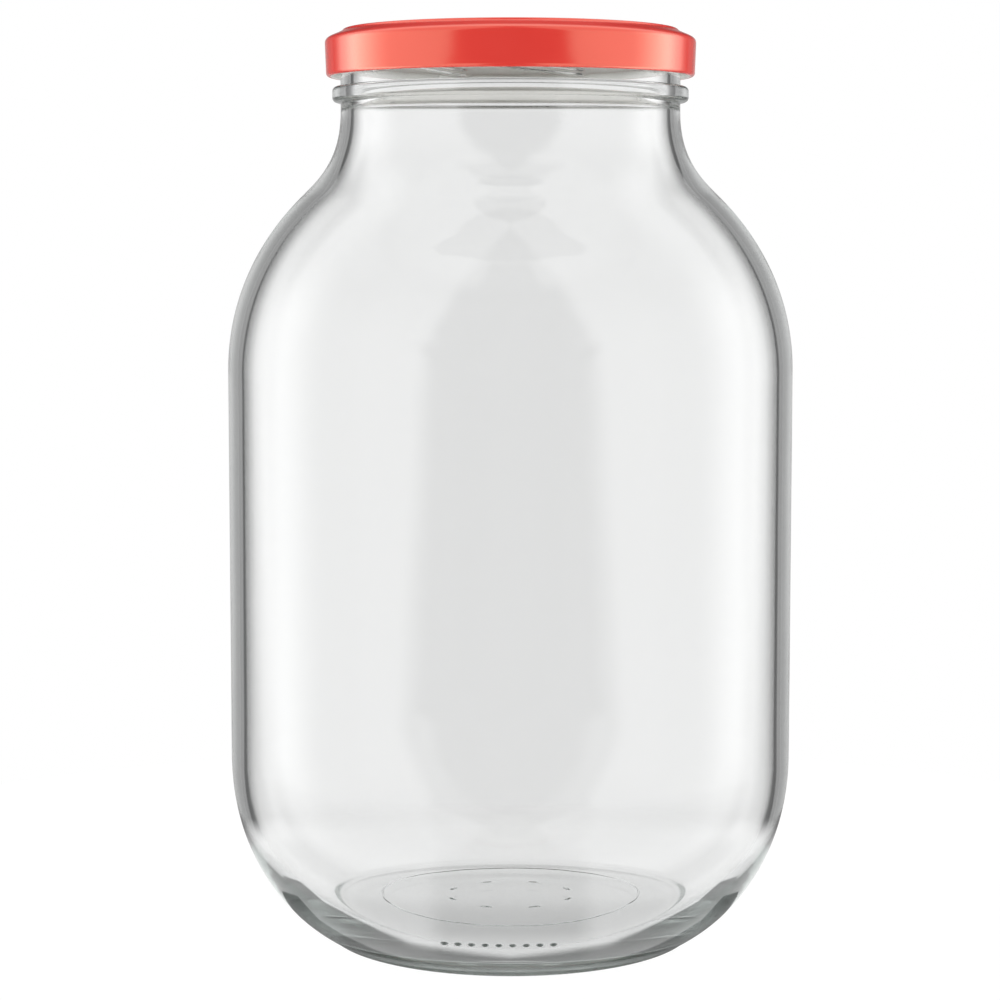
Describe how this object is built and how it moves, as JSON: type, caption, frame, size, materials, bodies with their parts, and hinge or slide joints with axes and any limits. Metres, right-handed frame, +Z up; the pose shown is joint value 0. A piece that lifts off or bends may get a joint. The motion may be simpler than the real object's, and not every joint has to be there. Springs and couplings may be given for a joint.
{
  "type": "glass jar with twist-off lid",
  "caption": "Tall clear glass storage jar with a rounded heel and shoulder, and a coral lacquered metal lid that screws off on its lugs.",
  "frame": {"origin": "centre of the ring that the jar rests on, at the level of the surface it stands on", "axes": "+Z up along the jar's axis, -Y towards the front"},
  "size_m": [0.1578, 0.1578, 0.2548],
  "materials": {
    "clear_glass": "clear, fire polished, with a very faint green cast in thick places",
    "coral_lacquer": "glossy coral red lacquer on tinplate",
    "sealing_compound": "soft off-white sealing compound"
  },
  "bodies": {
    "jar": {"glass_jar": "clear_glass"},
    "seal": {"lid_gasket": "sealing_compound"},
    "lid": {"lid_shell": "coral_lacquer"}
  },
  "joints": [
    {"name": "lid_lift", "type": "slide", "parent": "jar", "child": "seal", "axis": [0, 0, 1], "range_m": [0, 0.0288]},
    {"name": "lid_turn", "type": "hinge", "parent": "seal", "child": "lid", "pos_m": [0, 0, 0.2548], "axis": [0, 0, 1], "range_deg": [0, 360]}
  ],
  "couplings": [
    {"joint": "lid_lift", "follows": "lid_turn", "m_per_rad": 0.0045836}
  ]
}
